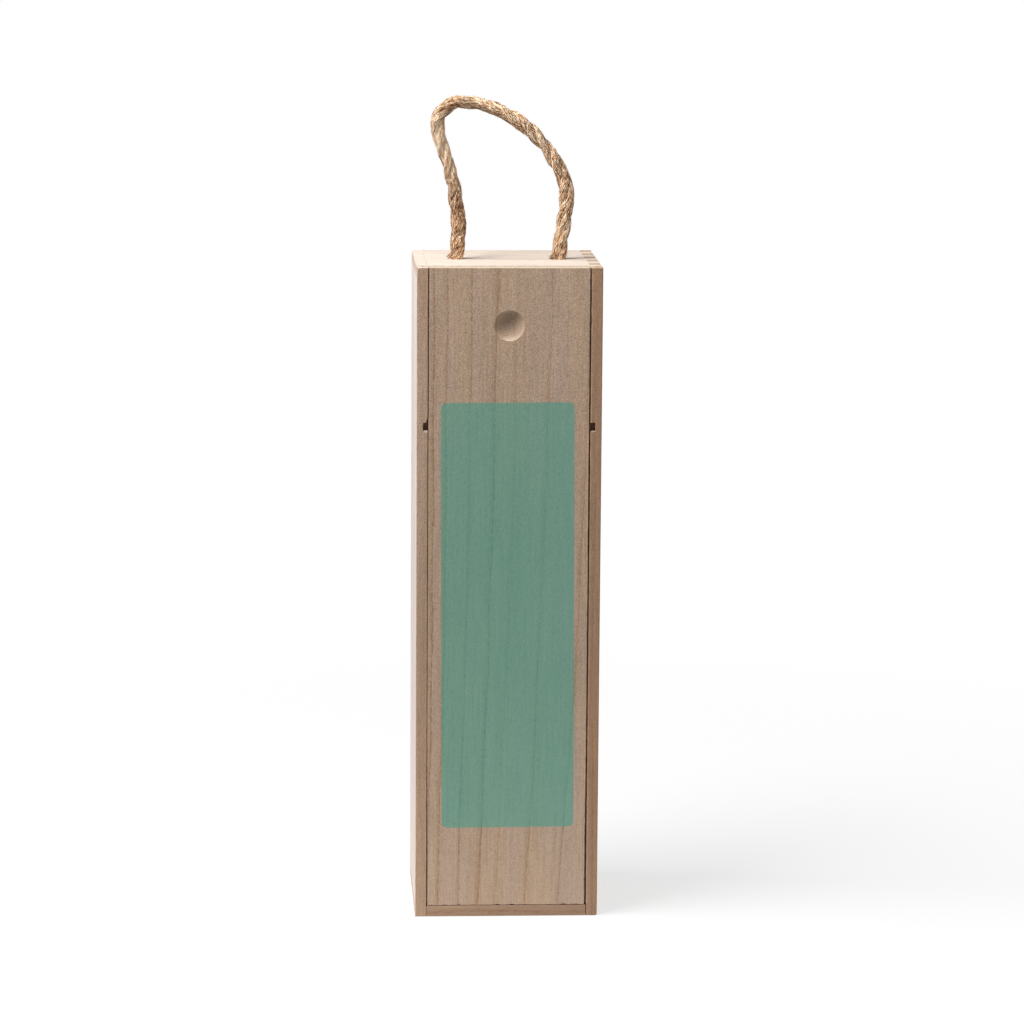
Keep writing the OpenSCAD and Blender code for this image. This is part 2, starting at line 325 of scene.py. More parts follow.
def laid_rope(line, diameter, sides, seed, thickness=((0, 1),), tones=((0, 0),), lay=ROPE_LAY):
    """Grid and attributes of three strands wound round a line. A strand's own line keeps a
    fixed distance from the rope's and turns round it once in each lay. Its section is a
    circle, squeezed a little where the strands meet, with ridges that follow its fibres."""
    random = np.random.default_rng(seed)
    ahead, side, up = frames(line)
    far = travelled(line)
    thick = np.interp(far, *zip(*thickness))
    strand_r = STRAND_SHARE * diameter
    offset = (diameter / 2 - strand_r) * thick[:, None]
    start = 2 * pi * np.arange(3)[:, None] / 3
    loose = 0.3 * np.sin(far / 9 + start) + 0.2 * np.sin(far / 4.1 + 2 * start)
    turn = start + 2 * pi * far / lay + loose
    outward = np.cos(turn)[..., None] * side + np.sin(turn)[..., None] * up
    lines = line + offset * outward
    forward = unit(np.gradient(lines, axis=1))
    outward = unit(outward - np.sum(outward * forward, -1, keepdims=True) * forward)
    across = np.cross(forward, outward)
    theta = np.linspace(-pi, pi, sides, endpoint=False)
    around = theta + 2 * pi * far[None, :, None] / (2 * lay) + 0 * start[..., None]
    along = np.broadcast_to(far[None, :, None], around.shape) + STRAND_SHIFT * start[..., None]
    coarse = ripple(random, around.shape, around, along, turns=(2, 7), waves=(0.1, 0.5))
    fine = ripple(random, around.shape, around, along, turns=(7, 15), waves=(0.2, 1.1))
    ridges = 0.6 * coarse + 0.55 * (1 - 2 * np.abs(fine))
    swell = thick * (1 + 0.04 * np.sin(far / 5.3 + 3 * start) + 0.03 * np.sin(far / 11 + start))
    radius = strand_r * swell[..., None] * (1 - 0.05 * np.cos(2 * theta) + 0.055 * ridges)
    spread = np.cos(theta)[:, None] * outward[:, :, None]
    spread = spread + np.sin(theta)[:, None] * across[:, :, None]
    grid = lines[:, :, None] + radius[..., None] * spread
    tucked = np.clip((np.abs(theta) - 1.0) / 0.9, 0, 1) * np.ones_like(around)
    # tones along the rope: on the upper left leg they are painted light
    pale = np.interp(far, *zip(*tones))[None, :, None]
    tone = 0.25 + pale + 0.18 * coarse + 0.25 * ripple(random, around.shape, around, along)
    # painted shade: darker where the strands meet and in the hollows between the ridges
    depth = 0.22 * tucked + 0.25 * np.clip(-ridges, 0, 1.5)
    place = np.stack([around * strand_r, along, 9 * start[..., None] + 0 * around], axis=-1)
    return grid, {"fibre_tone": tone, "fibre_depth": depth, "fibre_place": place}


# %% Lay the rope
def set_attributes(piece, values):
    """Stores one number or one vector for each corner of a mesh."""
    for name, array in values.items():
        vector = array.shape[-1] == 3 and array.ndim == 4
        kind, key = ("FLOAT_VECTOR", "vector") if vector else ("FLOAT", "value")
        attribute = piece.data.attributes.new(name, kind, "POINT")
        attribute.data.foreach_set(key, array.astype(np.float32).ravel())


rope_grid, values = laid_rope(rope_line, ROPE_D, sides=40, seed=3,
                              thickness=THICKNESS, tones=TONES)
rope = add_piece("jute_rope", *tubes(rope_grid), "case", "jute", jute)
set_attributes(rope, values)
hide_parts("rope_handle")

# %% [markdown]
# ## The stopper knots
# Under the top board each end of the rope is tied in a barrel knot, which is too thick to
# slip through its hole. The end comes down, turns, winds twice round itself on the way up
# and leaves downwards through its own turns. The line follows that way, and the rope is
# squeezed a little thinner in the turns, as soft rope is when a knot is pulled tight.

# %% Knots
KNOT_H = 16.0
TAIL_L = 14.0
KNOT_ROPE_D = 6.0      # the rope where the knot squeezes it
WRAP_R = 6.3           # from the knot's middle to the middle of a turn
WRAPS = 2.1


def knot_line(x, hand):
    """Down the middle, then a screw line of two turns round it on the way up, then down
    again beside the first stretch and out below as the loose end."""
    turn = np.linspace(0, WRAPS * 2 * pi, 30)
    rise = -KNOT_H + 3.4 + (KNOT_H - 6.6) * turn / turn[-1]
    wraps = np.stack([WRAP_R * np.cos(turn), hand * WRAP_R * np.sin(turn), rise], axis=1)
    inside = [[0, 0, 0], [-1, 0, -3], [-1.5, 0, -8], [-0.8, -1.5 * hand, -KNOT_H + 2.6],
              [3.2, -4.2 * hand, -KNOT_H + 2.4]]
    leaving = [[2.6, 2.4 * hand, -3.2], [1.6, 0.5, -7], [1.2, 0, -12], [0.6, 0, -KNOT_H - 1],
               [0.2, 0.4, -KNOT_H - 7], [-0.6, 0.8, -KNOT_H - TAIL_L + 4]]
    return smooth_line(np.vstack([inside, wraps, leaving]) + [x, 0, KNOT_TOP], 1.0)


tail_ends = []
for where, x, hand in (("left", HOLE_X[0], 1), ("right", HOLE_X[1], -1)):
    line = knot_line(x, hand)
    grid, values = laid_rope(line, KNOT_ROPE_D, sides=20, seed=round(abs(x)))
    knot = add_piece(f"jute_knot_{where}", *tubes(grid), "case", "jute", jute)
    set_attributes(knot, values)
    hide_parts(f"rope_knot_{where}")
    tail_ends.append(line[-1])

# %% [markdown]
# ## Loose fibres
# Spun jute is hairy. Fibre ends stand off the rope everywhere, and where it was pushed
# through its holes they lie on the wood as a small tuft. Each one is a thin tapering tube
# on a bowed line. Hundreds are made at once: the arrays have one more direction.


# %% Fibres
CROOKED = (0.31, 0.87, 0.4)      # a direction that no fibre follows


def thread(lines, radius, sides=3):
    """A thin tube round each line, which tapers to a quarter of its radius at the tip."""
    t = np.linspace(0, 1, lines.shape[1])[None, :, None]
    ahead = unit(np.gradient(lines, axis=1))
    side = unit(np.cross(ahead, unit(np.array(CROOKED))))
    up = np.cross(ahead, side)
    theta = np.linspace(0, 2 * pi, sides, endpoint=False)[:, None]
    thick = (np.asarray(radius)[:, None, None] * (1 - 0.75 * t))[:, :, None]
    return lines[:, :, None] + thick * (np.cos(theta) * side[:, :, None]
                                        + np.sin(theta) * up[:, :, None])


def hairs(roots, heading, bow, rings=6):
    """Middle lines of hairs that go from a root along a heading and bend away by their bow
    with the square of the distance."""
    t = np.linspace(0, 1, rings)[None, :, None]
    return roots[:, None] + heading[:, None] * t + bow[:, None] * t**2


def hair_attributes(grid, random, pale=0.0):
    """A tone for each hair, and a place on the jute pattern."""
    shape = grid.shape[:3]
    tone = random.uniform(-0.5, 0.6, shape[0]) + pale
    tone = np.broadcast_to(tone[:, None, None], shape)
    place = np.broadcast_to(random.uniform(0, 60, (shape[0], 1, 1, 3)), (*shape, 3))
    return {"fibre_tone": tone, "fibre_depth": np.zeros(shape), "fibre_place": place}


# %% Hairs along the rope
HAIR_COUNT = 5600
FIBRE_TWIST = 0.19     # turn of a fibre round its strand in radians per millimetre, backwards


def on_tubes(grid, tube, ring, side):
    """Places on tubes at fractional rings and sides: the mix of the four nearest corners."""
    rings, sides = grid.shape[1:3]
    ring = np.clip(ring, 0, rings - 1.001)
    r, s = np.floor(ring).astype(int), np.floor(side).astype(int)
    u, v = (ring - r)[..., None], (side - s)[..., None]
    near = grid[tube, r, s % sides] * (1 - v) + grid[tube, r, (s + 1) % sides] * v
    far = grid[tube, r + 1, s % sides] * (1 - v) + grid[tube, r + 1, (s + 1) % sides] * v
    return near * (1 - u) + far * u


def strand_hairs(grid, step, count, random, rings=6):
    """Middle lines of hairs that lie on the strands, and how far along the rope each starts.
    Along a hair its ring and its side change evenly, and its height above the strand rises
    with the square of the distance."""
    tube = random.integers(0, 3, (count, 1))
    t = np.linspace(0, 1, rings)
    length = random.gamma(4, 1.1, (count, 1)).clip(1.5, 11)
    slant = random.normal(0, 0.22, (count, 1))
    low, high = ((CROWN - KNOT_TOP) / step, grid.shape[1] - 1 - (CROWN - KNOT_TOP) / step)
    ring = np.clip(random.uniform(low, high, (count, 1)) + t * length / step, low, high)
    turn = random.normal(0, 1.1, (count, 1)) + t * length * (slant - FIBRE_TWIST)
    side = (turn + pi) / (2 * pi) * grid.shape[2]
    place = on_tubes(grid, tube, ring, side)
    middle = on_tubes(grid.mean(axis=2, keepdims=True), tube, ring, 0 * side)
    lift = np.abs(random.normal(0, 0.4, (count, 1))).clip(0, 1.5)
    height = random.uniform(0.0, 0.14, (count, 1)) + lift * t**2
    return place + height[..., None] * unit(place - middle), ring[:, 0] * step


random = np.random.default_rng(8)
step = rope_length / (len(rope_line) - 1)
lines, starts = strand_hairs(rope_grid, step, HAIR_COUNT, random)
grid = thread(lines, random.uniform(0.08, 0.18, HAIR_COUNT))
stray = add_piece("jute_stray_fibres", *tubes(grid), "case", "jute", jute)
# the hairs take the rope's tones, with painted light on the upper left leg
set_attributes(stray, hair_attributes(grid, random, np.interp(starts, *zip(*TONES))))

# %% Tufts at the holes and frayed ends
TUFT_COUNT = 130       # at each hole
FRAY_COUNT = 90        # at each end of the rope


def tuft(x, random):
    """Roots round the left half of a hole, with fibres that fall outwards onto the wood."""
    turn = random.normal(pi, 0.6, (TUFT_COUNT, 1))
    out = np.hstack([np.cos(turn), np.sin(turn), np.zeros_like(turn)])
    roots = [x, 0, box_top] + out * 3.3 + [0, 0, 1] * random.uniform(0.3, 3.5, (TUFT_COUNT, 1))
    length = random.uniform(0.8, 3.0, (TUFT_COUNT, 1))
    return roots, out * length + [0, 0, -0.5] * (roots[:, 2:] - box_top), [0, 0, -0.1] * length


def frayed(end, random):
    """Fibres that spread downwards from a cut rope end."""
    turn = random.uniform(0, 2 * pi, (FRAY_COUNT, 1))
    out = np.hstack([np.cos(turn), np.sin(turn), np.zeros_like(turn)])
    roots = end + out * 2.6 * np.sqrt(random.uniform(0, 1, (FRAY_COUNT, 1))) + [0, 0, 0.8]
    length = random.uniform(2.2, 4.6, (FRAY_COUNT, 1))
    return roots, length * (0.25 * out - [0, 0, 1]), length * 0.25 * out


parts = [tuft(x, random) for x in HOLE_X] + [frayed(end, random) for end in tail_ends]
roots, heading, bow = (np.vstack(group) for group in zip(*parts))
grid = thread(hairs(roots, heading, bow), random.uniform(0.08, 0.15, len(roots)))
frays = add_piece("jute_frayed_ends", *tubes(grid), "case", "jute", jute)
set_attributes(frays, hair_attributes(grid, random))

# %% [markdown]
# ## The rope above the box
# A mesh doesn't say that it is soft. This cell only works out how much of the rope shows
# above the box and prints it.

# %% Rope above the box
seen_line = rope_line[rope_line[:, 2] > box_top]
print("rope above the box:", round(travelled(seen_line)[-1], 1), "mm")

# %% [markdown]
# ## Bare wood
# The boards look like paulownia, the light wood of many gift boxes: a greyish tan with
# brown lines where each year's growth ends, open pores that show as short dark dashes, and
# a dull, slightly furry planed surface. Pictures of wood could be laid on the boards, but
# they repeat and don't meet at the edges. Real wood is solid, so the pattern is worked out
# from the place of a point in the board, and it runs on round every edge. Everything is
# stretched along the grain. The ends of a board cut the fibres across, and there the
# pattern turns to fine dots on a darker tone.

# %% Values of the wood
FIBRE_W, FIBRE_L = 0.9, 26.0                 # wood fibres are finer, drawn as bundles that show
PORE_W, PORE_L = 0.4, 4.0                    # open pores, across and along the grain
PILE = 0.42                                  # grain of the furry surface
FUR_FOOT, FUR_TOP = 1.0, 2.1                 # how much it shows, most where hands have been
YEAR_TILT = 0.4                              # how far a year line leans through the board
MIDDLE_DARK = 0.08                           # painted shade: how much darker the boards are at mid height
GRAIN_ORDER = {"up": "XYZ", "across": "YZX"}  # axes across, through and along the grain
SEED_STEPS = (7.3, 3.1, 1.7)                 # shift of the noise from one board to the next


def speckle(tree, board, seed, sizes, detail=2.0, roughness=0.5):
    """Soft noise between 0 and 1 within a board. Its spots have the given sizes in
    millimetres across, through and along the grain, and each seed shifts it."""
    shifted = add_node(tree, "Mapping", {
        "Vector": board, "Location": tuple(seed * step for step in SEED_STEPS),
        "Scale": tuple(1 / size for size in sizes)})
    return add_node(tree, "TexNoise", {
        "Vector": shifted, "Scale": 1.0, "Detail": detail, "Roughness": roughness})


def between(tree, value, start, end):
    """1 between the two ranges, 0 outside them, and a ramp within each."""
    rise = add_node(tree, "MapRange", {"Value": value, "From Min": start[0], "From Max": start[1]})
    fall = add_node(tree, "MapRange", {"Value": value, "From Min": end[1], "From Max": end[0]})
    return add_node(tree, "Math", (rise, fall), operation="MULTIPLY")


# %% [markdown]
# ## Year lines
# Each year's growth ends in a brown line. On a board sawn from the side of a log the lines
# run up the board, fan out a little and wander. A colour ramp holds them all: each line is
# a slow rise to its tone and a sharp fall, as late wood ends when the next spring starts.
# A wave texture would be quicker, but its lines are all alike and evenly spaced.

# %% Year lines
RAMP_PER_MM = 0.01     # the ramp spans 100 mm of width, and its middle is the board's


def year_lines(tree, noise, across, through, height, lines, fan, face):
    """The year lines lie across the board at the given places and drift along it:
    place = (across - shift * s) / (1 + spread * s), where s = h * (1.6 - 0.6 * h) rises from
    0 to 1 with the height h, faster at the foot. Noise breaks them into dots."""
    shift, spread = fan
    slowing = add_node(tree, "Math", (height, -0.6, 1.6), operation="MULTIPLY_ADD")
    curve = add_node(tree, "Math", (height, slowing), operation="MULTIPLY")
    wander = add_node(tree, "Math", (noise((30, 30, 90)), 4.0, -2.0), operation="MULTIPLY_ADD")
    ragged = add_node(tree, "Math", (noise((1.0, 1.0, 5)), 1.2, -0.6), operation="MULTIPLY_ADD")
    lean = -face * YEAR_TILT
    tilt = add_node(tree, "Math", (through, YEAR_TILT, lean), operation="MULTIPLY_ADD")
    offset = add_node(tree, "Math", (wander, ragged), operation="ADD")
    offset = add_node(tree, "Math", (offset, tilt), operation="ADD")
    moved = add_node(tree, "Math", (across, offset), operation="ADD")
    drift = add_node(tree, "Math", (curve, shift), operation="MULTIPLY")
    drifted = add_node(tree, "Math", (moved, drift), operation="SUBTRACT")
    widened = add_node(tree, "Math", (curve, spread, 1.0), operation="MULTIPLY_ADD")
    place = add_node(tree, "Math", (drifted, widened), operation="DIVIDE")
    spot = add_node(tree, "Math", (place, RAMP_PER_MM, 0.5), operation="MULTIPLY_ADD")
    ramp = add_node(tree, "ValToRGB", [spot])
    stops = [(0.0, 0.0)]
    for middle, dark, width in lines:
        peak = 0.5 + RAMP_PER_MM * middle
        stops += [(peak - 0.014 * width, 0.0), (peak - 0.004, 0.35 * dark), (peak, dark),
                  (peak + 0.002 * width, 0.0)]
    fill_ramp(ramp, [(position, (value, value, value, 1)) for position, value in stops])
    dots = noise((0.8, 0.8, 2.0), 2.0, 0.7)
    dotted = add_node(tree, "Math", (dots, 5.0, -1.6), operation="MULTIPLY_ADD")
    fade = add_node(tree, "Math", (height, -0.2, 1.0), operation="MULTIPLY_ADD")
    years = add_node(tree, "Math", (ramp, dotted), operation="MULTIPLY")
    years = add_node(tree, "Math", (years, fade), operation="MULTIPLY")
    return add_node(tree, "Math", (years, 0.0), operation="MAXIMUM")


# %% [markdown]
# ## Painted shade and rubbed edges
# The grooves, the gap under the lid and the seams at the bottom board's ends get painted
# shade, a brown tint, and the two edges at the gap on the lid's right have rubbed each other
# pale. Both could be painted on, but a mask keeps them to the joints: it is a product of
# ranges, in millimetres from the front, from the box's middle and from the floor.

# %% Painted shade and rubbed edges
GROOVE_SHADE = "#955f42"                      # tint of the painted shade in the grooves
GROOVE_START, GROOVE_END = (0.05, 0.2), (1.6, 3.0)      # millimetres behind the front
GROOVE_BED = (3.4, 3.6), (8.6, 8.8)          # the deep part of the groove, behind the front
GROOVE_SIDE, GROOVE_FLOOR = (41.9, 42.4), (46.1, 46.6)  # millimetres from the middle
GROOVE_TIP = (45.4, 45.6)
FOOT_LOW, FOOT_HIGH = 5.5, 6.5               # heights between which the lid meets the bottom board
FOOT_END = (3.6, 4.0)                        # how far behind the front that gap gets painted shade
FOOT_SEAM = (42.7, 42.9), (43.1, 43.3)       # where the bottom board ends between the sides
RUB_START, RUB_END, RUB_DEPTH = (41.7, 42.1), (43.3, 43.7), 0.9
SEAM_REACH = 3.0                             # how far down from the top the brown seam shows


def groove_shade(tree, axes, behind, aside, upright):
    """Painted shade on the upright walls of the lid's grooves, in the gap under the lid and in
    the seams at the bottom board's ends, of which the left one is fainter."""
    mouth = add_node(tree, "Math", (between(tree, behind, GROOVE_START, GROOVE_END),
                                    between(tree, aside, GROOVE_SIDE, GROOVE_FLOOR)),
                     operation="MULTIPLY")
    bed = add_node(tree, "Math", (between(tree, behind, *GROOVE_BED),
                                  between(tree, aside, GROOVE_TIP, GROOVE_FLOOR)),
                   operation="MULTIPLY")
    groove = add_node(tree, "Math", (mouth, bed), operation="MAXIMUM")
    groove = add_node(tree, "Math", (groove, upright), operation="MULTIPLY")
    level = between(tree, axes[2], (FOOT_LOW - 0.1, FOOT_LOW), (FOOT_HIGH, FOOT_HIGH + 0.1))
    under = add_node(tree, "Math", (between(tree, behind, GROOVE_START, FOOT_END), level),
                     operation="MULTIPLY")
    inside = add_node(tree, "Math", (aside, FOOT_SEAM[1][1]), operation="LESS_THAN")
    under = add_node(tree, "Math", (under, inside), operation="MULTIPLY")
    low = add_node(tree, "Math", (axes[2], FOOT_HIGH), operation="LESS_THAN")
    seam = add_node(tree, "Math", (between(tree, aside, *FOOT_SEAM), low), operation="MULTIPLY")
    on_right = add_node(tree, "Math", (axes[0], 0.0), operation="GREATER_THAN")
    share = add_node(tree, "Math", (on_right, 0.7, 0.3), operation="MULTIPLY_ADD")
    seam = add_node(tree, "Math", (seam, share), operation="MULTIPLY")
    foot = add_node(tree, "Math", (under, seam), operation="MAXIMUM")
    return add_node(tree, "Math", (groove, foot), operation="MAXIMUM")


def rubbed_edge(tree, noise, axes, behind, aside):
    """Pale patches on both sides of the gap on the lid's right, above its foot. They fade
    out within the rub's depth behind the front."""
    shallow = add_node(tree, "MapRange", {
        "Value": behind, "From Min": RUB_DEPTH, "From Max": 0.0})
    patchy = add_node(tree, "Math", (noise((0.8, 0.8, 2.5)), 3.0, -0.9), operation="MULTIPLY_ADD")
    above = add_node(tree, "Math", (axes[2], FOOT_HIGH), operation="GREATER_THAN")
    on_right = add_node(tree, "Math", (axes[0], 0.0), operation="GREATER_THAN")
    rubbed = between(tree, aside, RUB_START, RUB_END)
    for factor in (shallow, patchy, above, on_right):
        rubbed = add_node(tree, "Math", (rubbed, factor), operation="MULTIPLY")
    return add_node(tree, "Math", (rubbed, 0.0), operation="MAXIMUM")


def top_seam(tree, noise, behind, level, up, seam):
    """Brown spots along the top board's front edge, at the given distance behind the front
    and only on its upper face."""
    edge = between(tree, behind, (seam - 0.2, seam), (seam + 2.0, seam + 3.5))
    spots = add_node(tree, "Math", (noise((1.2, 1.2, 3.5), 3.0, 0.7), 5.0, -1.9),
                     operation="MULTIPLY_ADD")
    edge = add_node(tree, "Math", (edge, spots), operation="MULTIPLY")
    edge = add_node(tree, "Math", (edge, 0.0), operation="MAXIMUM")
    edge = add_node(tree, "Math", (edge, 1.0), operation="MINIMUM")
    upward = add_node(tree, "Math", (up, 0.5), operation="GREATER_THAN")
    edge = add_node(tree, "Math", (edge, upward), operation="MULTIPLY")
    high = add_node(tree, "Math", (level, box_top - SEAM_REACH), operation="GREATER_THAN")
    return add_node(tree, "Math", (edge, high), operation="MULTIPLY")


# %% [markdown]
# ## The wood as a whole
# The plain tone is two tans in broad bands. The year lines lie over it, and fibres, fur,
# patches and pores make it lighter and darker, and painted shade darkens it at mid height.
# The board's ends get their own tone, the print is a thin colour over the wood, and the
# painted shade in the grooves and seams comes last.


# %% Wood pattern and material
def wood_pattern(tree, grain, lines, fan, seed, face, seam):
    """The patterns of a board by name, worked out from a point's place in millimetres and
    from the way that its surface faces."""
    seen = add_node(tree, "TexCoord").outputs["Object"]
    metric = add_node(tree, "Mapping", {"Vector": seen, "Scale": (1 / MM,) * 3})
    axes = add_node(tree, "SeparateXYZ", [metric]).outputs
    across, through, along = (axes["XYZ".index(letter)] for letter in GRAIN_ORDER[grain])
    board = add_node(tree, "CombineXYZ", (across, through, along))
    noise = partial(speckle, tree, board, seed)
    height = add_node(tree, "Math", (along, box_top), operation="DIVIDE")
    behind = add_node(tree, "Math", (axes[1], front_y), operation="SUBTRACT")
    aside = add_node(tree, "Math", [axes[0]], operation="ABSOLUTE")
    facing = add_node(tree, "SeparateXYZ", [add_node(tree, "TexCoord").outputs["Normal"]]).outputs
    lying = add_node(tree, "Math", [facing[2]], operation="ABSOLUTE")
    upright = add_node(tree, "Math", (1.0, lying), operation="SUBTRACT")
    frontal = add_node(tree, "Math", [facing[1]], operation="ABSOLUTE")
    strength = add_node(tree, "Math", (height, FUR_TOP - FUR_FOOT, FUR_FOOT),
                        operation="MULTIPLY_ADD")
    turned = add_node(tree, "Math", (frontal, 0.6, 0.4), operation="MULTIPLY_ADD")
    strength = add_node(tree, "Math", (strength, turned), operation="MULTIPLY")
    pile = noise((PILE, PILE, PILE), 2.0, 0.6)
    fur = add_node(tree, "Math", (pile, 0.5), operation="SUBTRACT")
    rest = add_node(tree, "Math", (height, -1.0, 1.0), operation="MULTIPLY_ADD")
    patterns = {
        "facing": facing, "pile": pile,
        "fur": add_node(tree, "Math", (fur, strength), operation="MULTIPLY"),
        "arch": add_node(tree, "Math", (rest, height), operation="MULTIPLY"),
        "years": year_lines(tree, noise, across, through, height, lines, fan, face),
        "groove": groove_shade(tree, axes, behind, aside, upright),
        "rubbed": rubbed_edge(tree, noise, axes, behind, aside),
        "fibres": noise((FIBRE_W, FIBRE_W, FIBRE_L), 3.0, 0.6),
        "patches": noise((16, 16, 70)), "dots": noise((0.55, 0.55, 3.0), 2.0, 0.6),
        "pores": add_node(tree, "MapRange", {
            "Value": noise((PORE_W, PORE_W, PORE_L)), "From Min": 0.6, "From Max": 0.74}),
        "bands": add_node(tree, "MapRange", {
            "Value": noise((7, 7, 160)), "From Min": 0.35, "From Max": 0.65})}
    if seam:
        patterns["seam"] = top_seam(tree, noise, behind, axes[2], facing[2], seam)
    return patterns


def wood_material(name, plain, warm, late, end, grain="up", lines=(), fan=(0, 0), seed=0,
                  face=0.0, painted_left_light=None, seam=None, print_colour=None, print_share=0.0):
    """Bare planed paulownia, or the same wood with a thin printed colour over it. Each
    pattern changes the wood's light by the factor share * pattern + rest."""
    material, tree = new_material(name)
    wood = wood_pattern(tree, grain, lines, fan, seed, face, seam)
    facing = wood["facing"]
    ground = add_node(tree, "Mix", (wood["bands"], colour(plain), colour(warm)),
                      data_type="RGBA")
    # painted light: faces turned to the left get a paler colour
    if painted_left_light:
        leftward = add_node(tree, "Math", (facing[0], -1.0), operation="MULTIPLY")
        leftward = add_node(tree, "MapRange", {
            "Value": leftward, "From Min": 0.6, "From Max": 0.9})
        banded = add_node(tree, "Math", (wood["bands"], -0.25, 1.0), operation="MULTIPLY_ADD")
        leftward = add_node(tree, "Math", (leftward, banded), operation="MULTIPLY")
        ground = add_node(tree, "Mix", (leftward, ground, colour(painted_left_light)), data_type="RGBA")
    aged = add_node(tree, "Mix", (wood["years"], ground, colour(late)), data_type="RGBA")
    light = add_node(tree, "Math", (wood["fibres"], 0.50, 0.75), operation="MULTIPLY_ADD")
    # the arch is painted shade, darkest at mid height
    changes = {"fur": (1.0, 1.0), "patches": (0.2, 0.9), "arch": (-4 * MIDDLE_DARK, 1.0),
               "pores": (-0.16, 1.0), "rubbed": (0.5, 1.0)}
    for key, (share, rest) in changes.items():
        factor = add_node(tree, "Math", (wood[key], share, rest), operation="MULTIPLY_ADD")
        light = add_node(tree, "Math", (light, factor), operation="MULTIPLY")
    faced = add_node(tree, "VectorMath", (aged, light), operation="SCALE")
    if seam:
        faced = add_node(tree, "Mix", (wood["seam"], faced, colour(late)), data_type="RGBA")
    dotted = add_node(tree, "Math", (wood["dots"], 0.7, 0.65), operation="MULTIPLY_ADD")
    sawn = add_node(tree, "VectorMath", (colour(end)[:3], dotted), operation="SCALE")
    endwise = facing["XYZ".index(GRAIN_ORDER[grain][2])]
    endwise = add_node(tree, "Math", [endwise], operation="ABSOLUTE")
    at_end = add_node(tree, "MapRange", {"Value": endwise, "From Min": 0.6, "From Max": 0.8})
    seen = add_node(tree, "Mix", (at_end, faced, sawn), data_type="RGBA")
    if print_colour:
        seen = add_node(tree, "Mix", (print_share, seen, colour(print_colour)), data_type="RGBA")
    # painted shade: the brown tint in the grooves, under the lid and in the bottom seams
    seen = add_node(tree, "Mix", (wood["groove"], seen, colour(GROOVE_SHADE)),
                    data_type="RGBA", blend_type="MULTIPLY")
    ribs = add_node(tree, "Math", (wood["fibres"], 0.8), operation="MULTIPLY")
    relief = add_node(tree, "Math", (wood["pile"], ribs), operation="ADD")
    dents = add_node(tree, "Math", (wood["pores"], wood["years"]), operation="ADD")
    relief = add_node(tree, "Math", (relief, dents), operation="SUBTRACT")
    bump = add_node(tree, "Bump", {"Height": relief, "Strength": 0.7, "Distance": 0.2 * MM})
    shader = add_node(tree, "BsdfPrincipled", {
        "Base Color": seen, "Normal": bump,
        "Roughness": 0.72, "IOR": 1.5, "Specular IOR Level": 0.3})
    add_node(tree, "OutputMaterial", {"Surface": shader})
    print(name, "has", len(tree.nodes), "nodes")
    return material


# %% [markdown]
# ## The woods
# Every board has its own tones and its own seed. Fresh planed paulownia is a greyish tan,
# warmer in the bands, and its late wood brown. On the left board the faces turned to the
# left get a paler, greyer colour, which is painted light.
# A year line is written as its place across the board, its strength and its width.

# %% The woods
LID_YEARS = [(-43, 0.9, 1.6), (-37, 0.8, 1.6), (-26, 0.8, 1.4), (-15, 1.0, 1.8),
             (-6, 0.45, 1.6), (9, 0.6, 1.6), (27, 0.6, 1.4)]
LID_FAN = (11.84, 0.19)          # how far the lines drift and how much they spread to the top
CASE_YEARS = [(-46, 0.5, 1.6), (-31, 0.6, 1.6), (-17, 0.5, 1.6), (-4, 0.7, 1.4),
              (12, 0.5, 1.8), (28, 0.5, 1.6), (46, 0.6, 1.6)]
TOP_YEARS = [(place, 0.5 * dark, width) for place, dark, width in CASE_YEARS]
LEFT_YEARS = [(-45.2, 0.6, 0.9), *CASE_YEARS[1:]]
LID_TONES = ("#bfa591", "#c0a48a", "#9a6b3c", "#cab8a3")
lid_looks = {"lines": LID_YEARS, "fan": LID_FAN, "seed": 1, "face": front_y}
lid_wood = wood_material("planed_paulownia_lid", *LID_TONES, **lid_looks)
printed_wood = wood_material("green_printed_paulownia", *LID_TONES, **lid_looks,
                             print_colour="#23a594", print_share=0.62)
left_wood = wood_material("planed_paulownia_left", "#bfa38e", "#b9997e", "#94704f", "#dbcdbe",
                          lines=LEFT_YEARS, fan=(4, 0.05), seed=2, painted_left_light="#e3d7cf")
right_wood = wood_material("planed_paulownia_right", "#ac8b74", "#a98567", "#84623f", "#b99c82",
                           lines=CASE_YEARS, fan=(-3, 0.05), seed=3)
top_wood = wood_material("planed_paulownia_top", "#dacec3", "#d7c7b8", "#966e46", "#b8987a",
                         grain="across", lines=TOP_YEARS, fan=(2, 0.02), seed=4, seam=8.7)
bottom_wood = wood_material("planed_paulownia_bottom", "#b1937b", "#a98970", "#866548", "#b8987a",
                            grain="across", lines=CASE_YEARS, fan=(2, 0.02), seed=5)

# %% [markdown]
# ## The boards
# The boards could be built again from cubes, but the CAD boards already have the right form
# and size. So each visible board is a copy of its node. The copy is merged, its flat faces
# are joined, and it is cut into bands so that its edges can be worn unevenly. A small bevel
# then lets the edges catch the light, as sanded ones do.

# %% Cuts and sanded edges
WELD = 1e-6            # metres between corners that are taken as one
FLAT = radians(1)      # faces that differ by less are joined
BEVEL_ANGLE = radians(35)
STRAIGHT = 0.999       # share of its length that an edge runs along one axis
SOFT_EDGE = 0.18       # radius of a sanded edge in millimetres


def cut_bands(shape, axis, low, high, step):
    """Cuts a mesh by parallel planes at an even step, so that long edges get more corners."""
    normal = [float(i == axis) for i in range(3)]
    for level in np.arange(low + step, high, step):
        everything = [*shape.verts, *shape.edges, *shape.faces]
        bmesh.ops.bisect_plane(shape, geom=everything, plane_co=[level * MM * n for n in normal],
                               plane_no=normal)


def straight_and_sharp(edge):
    """True for an edge that runs along an axis between faces at a clear angle, which is
    where a sanded edge belongs."""
    way = edge.verts[1].co - edge.verts[0].co
    along = max(abs(c) for c in way) > STRAIGHT * way.length
    return along and edge.calc_face_angle(0) > BEVEL_ANGLE


